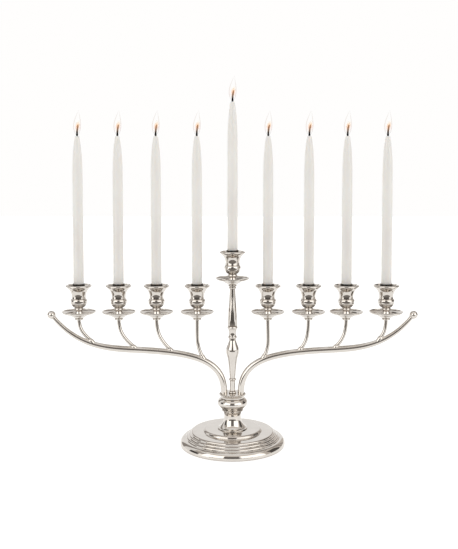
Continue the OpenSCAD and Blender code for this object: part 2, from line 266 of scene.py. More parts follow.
def arc(centre, r, a0, a1, n=14):
    out = []
    for i in range(n + 1):
        a = math.radians(a0 + (a1 - a0) * i / n)
        out.append((centre[0] + r * math.cos(a), centre[1] + r * math.sin(a)))
    return out


def half_ring(r, z, h):
    """A half-round ring of height h whose outermost point is at radius r and height z."""
    return arc((r - h / 2, z), h / 2, -90, 90, 12)


print("a half-round ring has", len(half_ring(5, 0, 2)), "points")

# %% [markdown]
# ## The lathe
#
# Turning is a closed outline spun round the axis. `lathe` does that with plain mesh code, so that
# the outline's points stay where they are put and the mesh is closed like the real solid. Where two
# faces meet at more than 32 degrees the edge stays crisp, as a tool leaves it. For every outline
# point it also measures how deep it lies below a straight edge laid across the outline 1.2 mm
# to either side, and stores that as the `groove` attribute, from which the nickel paints shade into
# the grooves. All outlines run up the outside, so the metal is on their left and a groove bends to
# the right.

# %% Turn a closed outline
LATHE_STEPS = 144
CRISP = math.radians(32)
GROOVE_REACH_MM = 1.2
GROOVE_FROM_MM, GROOVE_FULL_MM = 0.12, 0.6  # shallower gets no painted shade; this much more is full dark
HOLD_MM = (0.15, 0.6, 1.5)


def held(outline):
    """The outline with extra points close to the ends of long lines, which keep flat faces flat."""
    out = []
    for i, p in enumerate(outline):
        q = outline[(i + 1) % len(outline)]
        run = math.dist(p, q)
        if run < 1e-4:
            continue
        out.append(p)
        near = [d for d in HOLD_MM if 2.2 * d < run]
        for d in near + [run - d for d in reversed(near)]:
            out.append((p[0] + (q[0] - p[0]) * d / run, p[1] + (q[1] - p[1]) * d / run))
    return out


def groove_depths(outline):
    """How far each point lies below a straight edge laid across it, 0 to 1."""
    gone = [0]
    for a, b in zip(outline, outline[1:]):
        gone.append(gone[-1] + math.dist(a, b))

    def spot(s):
        i = min(max(bisect.bisect_left(gone, s), 1), len(gone) - 1)
        t = min(max((s - gone[i - 1]) / (gone[i] - gone[i - 1]), 0), 1)
        return [outline[i - 1][k] + t * (outline[i][k] - outline[i - 1][k]) for k in (0, 1)]

    depths = []
    for p, s in zip(outline, gone):
        a, b = spot(s - GROOVE_REACH_MM), spot(s + GROOVE_REACH_MM)
        inside = ((b[0] - a[0]) * (p[1] - a[1]) - (b[1] - a[1]) * (p[0] - a[0])) / max(math.dist(a, b), 0.1)
        depths.append(min(max((inside - GROOVE_FROM_MM) / GROOVE_FULL_MM, 0), 1))
    return depths


def solid_mesh(name, vertices, faces, grooves=None):
    """A closed smooth mesh with outward normals, from points in millimetres."""
    mesh = bpy.data.meshes.new(name)
    mesh.from_pydata([Vector(v) * MM for v in vertices], [], faces)
    bm = bmesh.new()
    bm.from_mesh(mesh)
    bmesh.ops.remove_doubles(bm, verts=bm.verts, dist=1e-7)
    bmesh.ops.recalc_face_normals(bm, faces=bm.faces)
    bm.to_mesh(mesh)
    bm.free()
    mesh.shade_smooth()
    mesh.set_sharp_from_angle(angle=CRISP)
    if grooves and len(mesh.vertices) == len(grooves):
        layer = mesh.attributes.new("groove", "FLOAT", "POINT")
        layer.data.foreach_set("value", grooves)
    return mesh


def lathe(name, outline, steps=LATHE_STEPS, painted_groove_shade=True):
    loop = held(outline)
    # The groove depths feed the nickel's painted shade in the grooves.
    depths = groove_depths(loop) if painted_groove_shade else [0] * len(loop)
    vertices, faces, grooves = [], [], []
    rows = []
    for (r, z), depth in zip(loop, depths):
        if r < 1e-4:
            rows.append([len(vertices)] * steps)
            vertices.append((0, 0, z))
            grooves.append(depth)
            continue
        rows.append(list(range(len(vertices), len(vertices) + steps)))
        for j in range(steps):
            a = 2 * math.pi * j / steps
            vertices.append((r * math.cos(a), r * math.sin(a), z))
            grooves.append(depth)
    for i, low in enumerate(rows):
        high = rows[(i + 1) % len(rows)]
        for j in range(steps):
            k = (j + 1) % steps
            corners = [low[j], low[k], high[k], high[j]]
            corners = [c for n, c in enumerate(corners) if c != corners[n - 1]]
            if len(set(corners)) > 2:
                faces.append(corners)
    return solid_mesh(name, vertices, faces, grooves)


def piece(name, mesh, material, place=(0, 0, 0), body="stand", stands_for=()):
    """Puts a mesh into the scene as one named piece of the object, on its body."""
    o = bpy.data.objects.new(name, mesh)
    bpy.context.scene.collection.objects.link(o)
    o.location = place
    if not mesh.materials:
        mesh.materials.append(material)
    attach(o, body)
    if stands_for:
        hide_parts(*stands_for)
    return o


print("lathe ready,", LATHE_STEPS, "steps round")

# %% [markdown]
# ## Sizes from the frame
#
# Every height and place below comes from a CAD node's box, in millimetres here. A light's place is
# the middle of its pan, and heights in a holder are counted from that pan's rim.


# %% Measure the frame
def low(node):
    return [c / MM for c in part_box(node)[0]]


def high(node):
    return [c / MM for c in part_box(node)[1]]


LIGHTS = ["middle"] + [f"{side}_{k}" for side in ("left", "right") for k in (1, 2, 3, 4)]
PLACE = {n: ((low("pan_" + n)[0] + high("pan_" + n)[0]) / 2, 0, high("pan_" + n)[2]) for n in LIGHTS}
BASE_H, BASE_R = high("base_shell")[2], high("base_shell")[0]
KNOB_Z, HUB_Z, HUB_TOP = low("stem_knob")[2], low("beaded_collar")[2], high("hub_cap")[2]
HUB_R = high("hub_cap")[0]
PLATE_R, FELT_T = high("bottom_plate")[0], high("felt_pad")[2]
JOINT_Z = low("column_upper")[2]
PAN_R = high("pan_middle")[0]
ROOT_X = low("right_arm")[0] + 4
SOCKET_RISE = 1.5  # the socket's edge stands this much above the cup's rim
CUP_H = high("cup_middle")[2] - PLACE["middle"][2] - SOCKET_RISE
CANDLE_R = (high("candle_middle")[0] - low("candle_middle")[0]) / 2
CANDLE_Z = low("candle_middle")[2] - PLACE["middle"][2]
CANDLE_TOP = high("candle_middle")[2] - PLACE["middle"][2]
WICK_TOP = high("wick_middle")[2] - PLACE["middle"][2]
BORE = 2.1
FERRULE_Z = -10.7  # underside of a ferrule, from its pan's rim
print("lights at x =", {n: round(p[0], 1) for n, p in PLACE.items()})

# %% [markdown]
# ## The base
#
# The base is spun: a disc of sheet brass is pressed over a wooden form on the lathe, which gives
# the raised middle, three ridges and the rolled edge in one thin wall. Its outline runs up the
# outside and back down the inside, so the wall is really 1.2 mm thick and the base is hollow.

# %% Base shell, bottom plate and felt
STEP_R, STEP_H, STEP_ROUND, WALL = 35.9, 3.2, 2.7, 1.2
ROLL_R = 6.6
ROLL = (BASE_R - ROLL_R, ROLL_R - 4)
RIDGE_ROUND = 1.7
RIDGES = [(BASE_R - 13.8 + 3.1 * i, BASE_H - 3.3 - 2.6 * i) for i in range(3)]


def base_outline():
    out = [(BORE, BASE_H), (STEP_R - 14, BASE_H)]
    out += arc((STEP_R - STEP_ROUND, BASE_H - STEP_ROUND), STEP_ROUND, 90, 6, 16)
    step_z = BASE_H - STEP_H
    out += curve([
        (STEP_R + 0.02, step_z + 0.8), (STEP_R + 0.1, step_z + 0.3),
        (STEP_R + 0.4, step_z), (STEP_R + 1.1, step_z),
    ], 8)
    for r, z in RIDGES:
        out += arc((r - RIDGE_ROUND, z - RIDGE_ROUND), RIDGE_ROUND, 90, 0, 12)
    out += arc(ROLL, ROLL_R, 88, -18, 40)
    out += [(BASE_R - 1, 0.4), (PLATE_R + 0.2, 0.4), (PLATE_R + 0.2, FELT_T + 1.2)]
    out += [(PLATE_R - 1.2, FELT_T + 1.2), (PLATE_R - 1.2, FELT_T + 2.2)]
    out += arc(ROLL, ROLL_R - WALL, 20, 75, 8)
    (first_r, first_z), (last_r, last_z) = RIDGES[0], RIDGES[-1]
    out += [(last_r - 0.6 * WALL, last_z - 3.3), (first_r - 0.6 * WALL, first_z - 3.3)]
    out += [(first_r - RIDGE_ROUND - 0.8, first_z - WALL), (STEP_R, step_z - WALL)]
    return out + [(STEP_R - 1.6, BASE_H - WALL), (BORE, BASE_H - WALL)]


base = piece(
    "base_shell_spun", lathe("base_shell_spun", base_outline(), 240), NICKEL, stands_for=["base_shell"],
)
felt_outline = [(0, 0), (PLATE_R - 0.5, 0)] + arc((PLATE_R - 0.5, 0.5), 0.5, -90, 0, 5)
felt_outline += arc((PLATE_R - 0.3, FELT_T - 0.3), 0.3, 0, 90, 4) + [(0, FELT_T)]
piece(
    "felt_disc", lathe("felt_disc", felt_outline, painted_groove_shade=False), FELT, stands_for=["felt_pad"],
)
for name in ("bottom_plate", "tie_rod", "tie_nut", "m3_nuts"):
    for material_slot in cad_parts[name].material_slots:
        material_slot.material = ZINC
print("base:", len(base.data.polygons), "faces, diameter", round(2 * BASE_R, 1), "mm")

# %% [markdown]
# ## The stem
#
# Three turnings are stacked on the tie rod: the bell foot, the knob with its fat roll, and the
# hub with a ring of beads. The beads are rolled into the ring with a beading wheel, so they are
# round on top and joined at the foot. Here they are 48 small balls half sunk in a turned collar.

# %% Bell foot, knob, beaded collar and hub
FOOT_R, NECK_R, NECK_Z, FOOT_H = 18.4, 10.3, 16, KNOB_Z - BASE_H
KNOB_R, KNOB_ROLL, KNOB_H = 18.4, 6, HUB_Z - KNOB_Z
BEADS, BEAD_R, COLLAR_H = 48, 0.82, 3.2
BEAD_RING_R = HUB_R + 0.15 + BEAD_R

foot_outline = [(BORE, 0)] + half_ring(FOOT_R, 0.6, 1.2)
foot_outline += curve([(FOOT_R - 1, 1.3), (14.2, 2.4), (NECK_R, 8), (NECK_R, NECK_Z)], 36)
foot_outline += curve([
    (NECK_R, NECK_Z + 0.5), (NECK_R + 0.2, FOOT_H - 3), (NECK_R + 1, FOOT_H - 1.2), (NECK_R + 2, FOOT_H),
], 14)
foot_outline += [(BORE, FOOT_H)]
piece(
    "stem_bell_foot", lathe("stem_bell_foot", foot_outline), NICKEL, (0, 0, BASE_H * MM),
    stands_for=["stem_foot"],
)

knob_outline = [(BORE, 0), (NECK_R + 2, 0)] + half_ring(NECK_R + 3, 0.8, 1.2) + [(NECK_R + 2.8, 1.7)]
knob_outline += arc((KNOB_R - KNOB_ROLL, KNOB_H - 7.1), KNOB_ROLL, -58, 58, 36)
knob_outline += [(HUB_R - 0.3, KNOB_H - 1), (HUB_R + 0.1, KNOB_H - 0.6)]
knob_outline += [(HUB_R + 0.1, KNOB_H), (BORE, KNOB_H)]
piece(
    "stem_knob_turned", lathe("stem_knob_turned", knob_outline), NICKEL, (0, 0, KNOB_Z * MM),
    stands_for=["stem_knob"],
)


def add_ball(vertices, faces, centre, r, around=16, up=10):
    start = len(vertices)
    vertices.append((centre[0], centre[1], centre[2] - r))
    for i in range(1, up):
        a = math.pi * (i / up - 0.5)
        for j in range(around):
            b = 2 * math.pi * j / around
            vertices.append((
                centre[0] + r * math.cos(a) * math.cos(b), centre[1] + r * math.cos(a) * math.sin(b),
                centre[2] + r * math.sin(a),
            ))
    top = len(vertices)
    vertices.append((centre[0], centre[1], centre[2] + r))
    for j in range(around):
        k = (j + 1) % around
        faces.append((start, start + 1 + k, start + 1 + j))
        faces.append((top, top - around + j, top - around + k))
        for i in range(up - 2):
            row = start + 1 + i * around
            faces.append((row + j, row + k, row + around + k, row + around + j))


collar_outline = [(HUB_R + 0.05, 0), (HUB_R + 0.5, 0)]
collar_outline += curve([
    (HUB_R + 0.5, 0), (HUB_R + 0.6, 1.2), (BEAD_RING_R + 0.4, 1.8), (BEAD_RING_R + BEAD_R + 0.1, COLLAR_H),
], 12)
collar_outline += [(HUB_R + 0.05, COLLAR_H)]
piece(
    "beaded_collar_ring", lathe("beaded_collar_ring", collar_outline), NICKEL, (0, 0, HUB_Z * MM),
    stands_for=["beaded_collar"],
)
ball_points, ball_faces = [], []
for i in range(BEADS):
    a = 2 * math.pi * i / BEADS
    bead_place = (BEAD_RING_R * math.cos(a), BEAD_RING_R * math.sin(a), COLLAR_H + 0.2)
    add_ball(ball_points, ball_faces, bead_place, BEAD_R)
piece("collar_beads", solid_mesh("collar_beads", ball_points, ball_faces), NICKEL, (0, 0, HUB_Z * MM))

hub_outline = [(BORE, 0), (HUB_R, 0), (HUB_R, 4.3)] + arc((HUB_R - 0.3, 4.3), 0.3, 0, 90, 5)
hub_outline += [(NECK_R - 1, 4.6), (BORE, 4.6)]
piece("hub_disc", lathe("hub_disc", hub_outline), NICKEL, (0, 0, HUB_Z * MM), stands_for=["hub_cap"])
print("stem: beads", BEADS, "pitch", round(2 * math.pi * BEAD_RING_R / BEADS, 2), "mm")

# %% [markdown]
# ## The column
#
# The column of the middle light is two turnings screwed together at a ring. The lower one has two
# small rings, a long vase shape and a ring above it; the upper one tapers to the middle ferrule.

# %% Lower and upper column
COLUMN_R = 3.35
UPPER_TOP = PLACE["middle"][2] + FERRULE_Z

lower = [(BORE, 0)] + half_ring(4.8, 1.1, 2.2) + [(COLUMN_R, 2.4), (COLUMN_R, 15.6)]
lower += half_ring(4.5, 17, 2.4) + [(COLUMN_R, 18.4)]
lower += curve([(COLUMN_R, 19.4), (4.3, 30), (5, 38), (6.2, 44)])
lower += curve([(6.2, 44), (7.2, 47), (8, 49.5), (8, 53)])[1:]
lower += curve([(8, 53), (8, 58), (5.1, 60.5), (4.4, 65.8)])[1:]
lower += half_ring(5.5, 69.6, 2.6)
lower += curve([(4.8, 71.2), (4.4, 74), (4.4, 76.5), (5.1, 78.6)], 10)
lower += arc((3.9, 81.6), 2.4, -50, 62, 12) + [(6.1, JOINT_Z - HUB_TOP), (BORE, JOINT_Z - HUB_TOP)]
piece(
    "column_lower_turned", lathe("column_lower_turned", lower), NICKEL, (0, 0, HUB_TOP * MM),
    stands_for=["column_lower"],
)

upper = [(0, JOINT_Z), (6.1, JOINT_Z)]
upper += curve([(6.1, JOINT_Z + 2), (5.6, JOINT_Z + 15), (4, UPPER_TOP - 20), (3.3, UPPER_TOP - 3.6)], 30)
upper += half_ring(4.6, UPPER_TOP - 1.9, 2.6) + [(4.2, UPPER_TOP), (0, UPPER_TOP)]
piece("column_upper_turned", lathe("column_upper_turned", upper), NICKEL, stands_for=["column_upper"])
print("column from", round(HUB_TOP, 1), "to", round(UPPER_TOP, 1), "mm")

# %% [markdown]
# ## The arms
#
# An arm is a round brass rod, annealed and bent over a former into a long S, then filed to a taper
# towards its end. A tube swept along the same two cubic curves as the CAD gives it: 48 sides, and
# rings close together so that the long reflections run smoothly.


# %% Sweep a rod along a path
def sweep(name, path, radii, sides=48):
    """A closed round rod along (x, z) points, with one radius for each point."""
    vertices, faces = [], []
    n = len(path)
    for i, (x, z) in enumerate(path):
        a, b = path[max(i - 1, 0)], path[min(i + 1, n - 1)]
        run = math.dist(a, b)
        tx, tz = (b[0] - a[0]) / run, (b[1] - a[1]) / run
        for j in range(sides):
            u = radii[i] * math.cos(2 * math.pi * j / sides)
            v = radii[i] * math.sin(2 * math.pi * j / sides)
            vertices.append((x - tz * u, v, z + tx * u))
    for i in range(n - 1):
        for j in range(sides):
            k = (j + 1) % sides
            faces.append((i * sides + j, i * sides + k, (i + 1) * sides + k, (i + 1) * sides + j))
    faces.append(tuple(range(sides - 1, -1, -1)))
    faces.append(tuple((n - 1) * sides + j for j in range(sides)))
    return solid_mesh(name, vertices, faces)


ARM_R, ARM_TIP_R = 4, 2.5
SIDE_PAN_Z = PLACE["right_1"][2]
BALL_R = 5
BALL = (high("arm_end_balls")[0] - BALL_R, low("arm_end_balls")[2] + BALL_R)
END_SLOPE, MID_SLOPE = math.radians(50), math.tan(math.radians(4))
ARM_MID = (100.5, SIDE_PAN_Z - 49.2)
END_DIR = (math.cos(END_SLOPE), math.sin(END_SLOPE))
ARM_END = (BALL[0] - 4.2 * END_DIR[0], BALL[1] - 4.2 * END_DIR[1])
ARM_CURVES = [
    [(ROOT_X, HUB_TOP), (ROOT_X, HUB_TOP + 37), (ARM_MID[0] - 62, ARM_MID[1] - 62 * MID_SLOPE), ARM_MID],
    [ARM_MID, (ARM_MID[0] + 47, ARM_MID[1] + 47 * MID_SLOPE),
     (BALL[0] - 59 * END_DIR[0], BALL[1] - 59 * END_DIR[1]), ARM_END],
]
ARM_STEPS = 90
arm_path = curve(ARM_CURVES[0], ARM_STEPS) + curve(ARM_CURVES[1], ARM_STEPS)[1:]
arm_radii = []
for i in range(len(arm_path)):
    u = i / ARM_STEPS
    arm_radii.append(ARM_R if u < 1.3 else ARM_R + (ARM_TIP_R - ARM_R) * (u - 1.3) / 0.7)


def mirrored(path, sign):
    return [(sign * x, z) for x, z in path]


for side, sign in (("left", -1), ("right", 1)):
    piece(
        f"{side}_arm_rod", sweep(f"{side}_arm_rod", mirrored(arm_path, sign), arm_radii), NICKEL,
        stands_for=[f"{side}_arm"],
    )
print("arm rod of", len(arm_path), "rings, ends at", [round(c, 1) for c in ARM_END])

# %% [markdown]
# ## The branches and the end balls
#
# Each branch is a thinner rod. It leaves the arm at a lean, turns upright under its light and is
# brazed on: silver solder is drawn into the joint and leaves a small smooth cove round the foot.
# The rod's radius swells there to make that cove. The end ball is turned with a small fillet ring
# at its seat, and screwed on.

# %% Branches with brazed feet, end balls
ROD_R, BRANCH_STEPS = 2.25, 60
LEADS = {"left": (9, 20, 21, 18), "right": (7, 13, 16, 10)}
BRAZE_SWELL, BRAZE_REACH = 0.95, 1.3


def branch_path(x, lead):
    top = (x, SIDE_PAN_Z + FERRULE_Z)
    i = min(range(len(arm_path) - 1), key=lambda n: abs(arm_path[n][0] - (x - lead)))
    foot, ahead = arm_path[i], arm_path[i + 1]
    run = math.dist(foot, ahead)
    lean = Vector(((ahead[0] - foot[0]) / run, (ahead[1] - foot[1]) / run + 1.1)).normalized()
    rise = top[1] - foot[1]
    path = curve([
        foot, (foot[0] + 0.4 * rise * lean[0], foot[1] + 0.4 * rise * lean[1]),
        (top[0], top[1] - 0.55 * rise), top,
    ], BRANCH_STEPS)
    radii, gone = [], 0
    sine = abs(lean[0] * (ahead[1] - foot[1]) / run - lean[1] * (ahead[0] - foot[0]) / run)
    surface = ARM_R / max(0.6, sine)
    for a, b in zip([path[0]] + path, path):
        gone += math.dist(a, b)
        radii.append(ROD_R + BRAZE_SWELL * math.exp(-max(0, gone - surface + 0.4) / BRAZE_REACH))
    return path, radii


for side, sign in (("left", -1), ("right", 1)):
    for k in range(4):
        path, radii = branch_path(abs(PLACE[f"{side}_{k + 1}"][0]), LEADS[side][k])
        name = f"{side}_branch_{k + 1}"
        piece(
            name + "_rod", sweep(name + "_rod", mirrored(path, sign), radii, 36), NICKEL, stands_for=[name],
        )

ball_outline = [(0, -4.6), (ARM_TIP_R + 0.15, -4.6)] + half_ring(ARM_TIP_R + 0.75, -4.1, 1.0)
ball_outline += arc((0, 0), BALL_R, -50, 90, 40)[1:]
ball_mesh = lathe("arm_end_ball", ball_outline, 72)
for side, sign in (("left", -1), ("right", 1)):
    ball = piece(
        f"{side}_arm_end_ball", ball_mesh, NICKEL, (sign * BALL[0] * MM, 0, BALL[1] * MM),
        stands_for=["arm_end_balls"],
    )
    ball.rotation_euler = Euler((0, sign * (math.pi / 2 - END_SLOPE), 0))
print("branches and balls made")

# %% [markdown]
# ## The nine holders
#
# The holders are nine equal stacks, so each turned piece is one mesh shown nine times: a ferrule
# like a small trumpet, a thin drip pan, and a cup with a round bulb, a waist and a wide flare.
# Round each candle's foot stands the edge of the socket, dark with painted shade for the hole it rings.

# %% Ferrule, pan, cup and socket ring
PAN_DIP, PAN_WALL, PAN_FLOOR_R, STUD = 3.2, 0.9, 9, 1.6
SEAT_R, FERRULE_R = PAN_R - 9, 5.2
SOCKET_R = CANDLE_R + 0.3
WAIST_R, WAIST_Z = SOCKET_R + 1.95, CUP_H - 14.4
RIM_R, BULB_R, FLARE_R, FLARE_RISE = WAIST_R + 7.1, WAIST_R + 1.4, 13.6, 11.2
DISH_Z, LIP = CUP_H - 3.4, 1.3
SOCKET_FLOOR = 9.4
RING_TOP = CUP_H + SOCKET_RISE

under = -PAN_DIP - PAN_WALL
ferrule = [(STUD, FERRULE_Z)] + half_ring(FERRULE_R, FERRULE_Z + 0.9, 1.8)
ferrule += curve([
    (FERRULE_R, FERRULE_Z + 2), (FERRULE_R + 1.2, FERRULE_Z + 2.8),
    (SEAT_R - 2.8, FERRULE_Z + 4), (SEAT_R, under - 0.5),
])
ferrule += [(SEAT_R, under), (STUD, under)]

pan = [(STUD, under), (SEAT_R + 0.2, under)]
pan += curve([(PAN_R - 8, under + 0.1), (PAN_R - 3.6, under + 0.3), (PAN_R - 0.9, -2.6), (PAN_R, -0.9)], 24)
pan += arc((PAN_R - 0.3, -0.3), 0.3, 0, 120, 8)
pan += curve([
    (PAN_R - 0.9, -0.1), (PAN_R - 1.9, -2.3), (PAN_R - 4.6, 0.2 - PAN_DIP), (PAN_FLOOR_R, -PAN_DIP),
], 24)
pan += [(STUD, -PAN_DIP)]

cup = [(STUD, -PAN_DIP), (5.2, -PAN_DIP), (4.7, 1.4 - PAN_DIP), (4.2, -0.2)]
cup += arc((3.5, 2.6), 2.3, -75, 70, 18)
cup += curve([(WAIST_R - 2.7, 4.9), (WAIST_R - 1, 5.9), (BULB_R - 0.1, 8.2), (BULB_R, 11.8)], 22)
cup += curve([(BULB_R, 12.6), (BULB_R, 14.4), (WAIST_R + 0.7, 14.9), (WAIST_R + 0.1, 15.4)], 10)
flare_end = 180 - math.degrees(math.asin(FLARE_RISE / FLARE_R))
cup += arc((WAIST_R + FLARE_R, WAIST_Z), FLARE_R, 180, flare_end, 28)
cup += arc((RIM_R - LIP, CUP_H - LIP), LIP, -40, 90, 14)
cup += curve([
    (RIM_R - 1.5, CUP_H - 0.1), (RIM_R - 2.3, CUP_H - 1.6), (RIM_R - 3.6, DISH_Z + 0.2),
    (SOCKET_R + 3, DISH_Z),
])
cup += [(SOCKET_R + 0.5, DISH_Z), (SOCKET_R + 0.5, SOCKET_FLOOR), (STUD, SOCKET_FLOOR)]

ring = [(SOCKET_R, SOCKET_FLOOR), (SOCKET_R + 0.5, SOCKET_FLOOR), (SOCKET_R + 0.5, DISH_Z)]
ring += [(SOCKET_R + 0.75, DISH_Z), (SOCKET_R + 0.75, RING_TOP - 0.3)]
ring += arc((SOCKET_R + 0.45, RING_TOP - 0.3), 0.3, 0, 90, 5) + [(SOCKET_R, RING_TOP)]

ferrule_mesh, pan_mesh = lathe("holder_ferrule", ferrule, 96), lathe("holder_drip_pan", pan)
cup_mesh, ring_mesh = lathe("holder_cup", cup), lathe("socket_ring", ring, 96, painted_groove_shade=False)
for n in LIGHTS:
    spot = [c * MM for c in PLACE[n]]
    piece(f"ferrule_{n}", ferrule_mesh, NICKEL, spot, stands_for=["pan_ferrules"])
    piece(f"drip_pan_{n}", pan_mesh, NICKEL, spot, stands_for=[f"pan_{n}"])
    piece(f"flared_cup_{n}", cup_mesh, NICKEL, spot, stands_for=[f"cup_{n}"])
    # The socket ring's dark finish is painted shade.
    piece(f"socket_ring_{n}", ring_mesh, SOCKET_RING_SHADE, spot, stands_for=[f"cup_{n}"])
print("nine holders, cup", len(cup_mesh.polygons), "faces")

# %% [markdown]
# ## Wax
#
# Taper candles are dipped in ivory paraffin and polished by rolling. Wax is cloudy: light enters,
# scatters a few millimetres and comes out again, which softens every shadow. Subsurface scattering
# does that, with red travelling furthest. The skin is smooth but not glossy, with faint long bumps
# from the dipping, and it is a touch greyer than new paper.

# %% Candle wax
DIP_RIPPLE_MM = 22


def paraffin():
    m = new_material("ivory_paraffin_dipped")
    place = add(m, "ShaderNodeTexCoord").outputs["Object"]
    long = add(m, "ShaderNodeMapping", {"Scale": (1.0, 1.0, 0.35)}, {"Vector": place})
    cloud = add(
        m, "ShaderNodeTexNoise", {"Scale": 1 / (DIP_RIPPLE_MM * MM), "Detail": 2.0},
        {"Vector": long.outputs["Vector"]},
    )
    bloom = add(m, "ShaderNodeTexNoise", {"Scale": 1 / (3.0 * MM), "Detail": 3.0}, {"Vector": place})
    tone = stops(
        add(m, "ShaderNodeValToRGB", links={"Fac": cloud.outputs["Fac"]}),
        (0.3, linear("#e6e3df")), (0.7, linear("#ecebe7")),
    )
    rough = add(m, "ShaderNodeMapRange", {"To Min": 0.3, "To Max": 0.44}, {"Value": bloom.outputs["Fac"]})
    bump = add(
        m, "ShaderNodeBump", {"Strength": 0.5, "Distance": 0.25 * MM}, {"Height": cloud.outputs["Fac"]},
    )
    surface = add(
        m, "ShaderNodeBsdfPrincipled",
        {"IOR": 1.44, "Subsurface Weight": 0.6, "Subsurface Radius": (1.0, 0.9, 0.78),
         "Subsurface Scale": 1.6 * MM},
        {"Base Color": tone.outputs["Color"], "Roughness": rough.outputs[0],
         "Normal": bump.outputs["Normal"]},
    )
    add(m, "ShaderNodeOutputMaterial", links={"Surface": surface.outputs[0]})
    return m


WAX = paraffin()
print("made", WAX.name)

# %% [markdown]
# ## Wick and flame
#
# The wick is braided cotton, burnt black and bent over by its own braid. A candle flame seen against
# white is hardly there: hot gas shows as a thin grey edge, the body is clear or white-hot, and only
# round the top of the wick does glowing soot give a peach light. Hot gas has no surface, so the flame
# is two closed shells that are mostly clear. The outer one shows at its edge, where the eye looks
# along it; the inner one is the glow and fades towards its own edge.

# %% Charred cotton and flame light
BRAID_MM = 1.1
FLAME_H = 32.0


def charred_cotton():
    m = new_material("charred_cotton_braid")
    place = add(m, "ShaderNodeTexCoord").outputs["Object"]
    braid = add(m, "ShaderNodeTexVoronoi", {"Scale": 1 / (BRAID_MM * MM)}, {"Vector": place})
    tone = stops(
        add(m, "ShaderNodeValToRGB", links={"Fac": braid.outputs["Distance"]}),
        (0.1, linear("#1c1715")), (0.8, linear("#080706")),
    )
    bump = add(
        m, "ShaderNodeBump", {"Strength": 0.8, "Distance": 0.25 * MM}, {"Height": braid.outputs["Distance"]},
    )
    surface = add(
        m, "ShaderNodeBsdfPrincipled", {"Roughness": 0.9, "Specular IOR Level": 0.15},
        {"Base Color": tone.outputs["Color"], "Normal": bump.outputs["Normal"]},
    )
    add(m, "ShaderNodeOutputMaterial", links={"Surface": surface.outputs[0]})
    return m


def flame_light(name, colours, cover, at_edge, sharpness):
    """Light by height: colours and cover are (share of the flame's height, colour or grey) stops.

    The cover is full at the shell's edge or in its middle, and falls off with the given power."""
    m = new_material(name)
    place = add(m, "ShaderNodeTexCoord").outputs["Object"]
    z = add(m, "ShaderNodeSeparateXYZ", links={"Vector": place}).outputs["Z"]
    share = add(m, "ShaderNodeMath", {"operation": "MULTIPLY", 1: 1 / (FLAME_H * MM)}, {0: z}).outputs[0]
    colour = stops(add(m, "ShaderNodeValToRGB", links={"Fac": share}), *colours)
    amount = stops(add(m, "ShaderNodeValToRGB", links={"Fac": share}), *[(p, (g, g, g, 1)) for p, g in cover])
    side = add(m, "ShaderNodeLayerWeight", {"Blend": 0.5}).outputs["Facing"]
    if not at_edge:
        side = add(
            m, "ShaderNodeMath", {"operation": "SUBTRACT", 0: 1.0, "use_clamp": True}, {1: side},
        ).outputs[0]
    fall = add(m, "ShaderNodeMath", {"operation": "POWER", 1: sharpness}, {0: side}).outputs[0]
    shown = add(
        m, "ShaderNodeMath", {"operation": "MULTIPLY", "use_clamp": True},
        {0: amount.outputs["Color"], 1: fall},
    ).outputs[0]
    clear = add(m, "ShaderNodeBsdfTransparent").outputs[0]
    glow = add(m, "ShaderNodeEmission", {"Strength": 1.0}, {"Color": colour.outputs["Color"]}).outputs[0]
    both = add(m, "ShaderNodeMixShader", links={0: shown, 1: clear, 2: glow})
    add(m, "ShaderNodeOutputMaterial", links={"Surface": both.outputs[0]})
    return m


CHAR = charred_cotton()
MANTLE = flame_light(
    "flame_outer_mantle",
    [(0.10, linear("#8a8488")), (0.28, linear("#c48a70")), (0.50, linear("#c9ab90")),
     (1.0, linear("#b9ac9a"))],
    [(0.0, 0.45), (0.25, 0.75), (0.6, 0.75), (1.0, 0.9)], True, 3.0,
)
GLOW = flame_light(
    "flame_glow_round_the_wick",
    [(0.20, linear("#ffd9bd")), (0.34, linear("#ffba88")), (0.46, linear("#ffd2a0")),
     (0.60, linear("#fff0d6"))],
    [(0.10, 0.0), (0.28, 0.32), (0.42, 0.50), (0.52, 0.22), (0.62, 0.0)], False, 1.6,
)
print("made", CHAR.name, MANTLE.name, GLOW.name)

# %% [markdown]
# ## Candles, wicks and flames
#
# A candle burns a small pool into its top, so the outline has a raised rim that dips towards the
# wick. All of it rides on the candle's own body, because a candle lifts straight up out of its
# cup. The wick and the flame lean the same way, as in a slight draught: their points are shifted
# sideways more and more with height.

# %% Build and place them
TIP_R, TAPER_L, WICK_R = 2.7, 66, 1.25
LEAN_MM, FLAME_LEAN_MM = 1.9, 2.4

taper = [(0, CANDLE_Z), (CANDLE_R - 0.4, CANDLE_Z), (CANDLE_R, CANDLE_Z + 0.6)]
taper += [(CANDLE_R - 0.15, CANDLE_TOP - TAPER_L)]
taper += curve([
    (CANDLE_R - 0.15, CANDLE_TOP - TAPER_L), (CANDLE_R - 0.1, CANDLE_TOP - 0.52 * TAPER_L),
    (TIP_R + 2.9, CANDLE_TOP - 0.24 * TAPER_L), (TIP_R, CANDLE_TOP - 0.6),
], 40)[1:]
taper += arc((TIP_R - 0.5, CANDLE_TOP - 0.5), 0.5, 0, 120, 8)
taper += curve([
    (TIP_R - 0.8, CANDLE_TOP - 0.2), (1.9, CANDLE_TOP - 0.9), (1.4, CANDLE_TOP - 1.1),
    (0.9, CANDLE_TOP - 0.9),
], 8)
taper += [(0, CANDLE_TOP - 0.9)]
candle_mesh = lathe("taper_candle", taper, 96, painted_groove_shade=False)


def leaned(mesh, from_z, lean, over):
    """Shifts points towards +X with the square of their height above from_z, in millimetres."""
    for v in mesh.vertices:
        up = max(0, v.co.z / MM - from_z) / over
        v.co.x += lean * up * up * MM
    return mesh


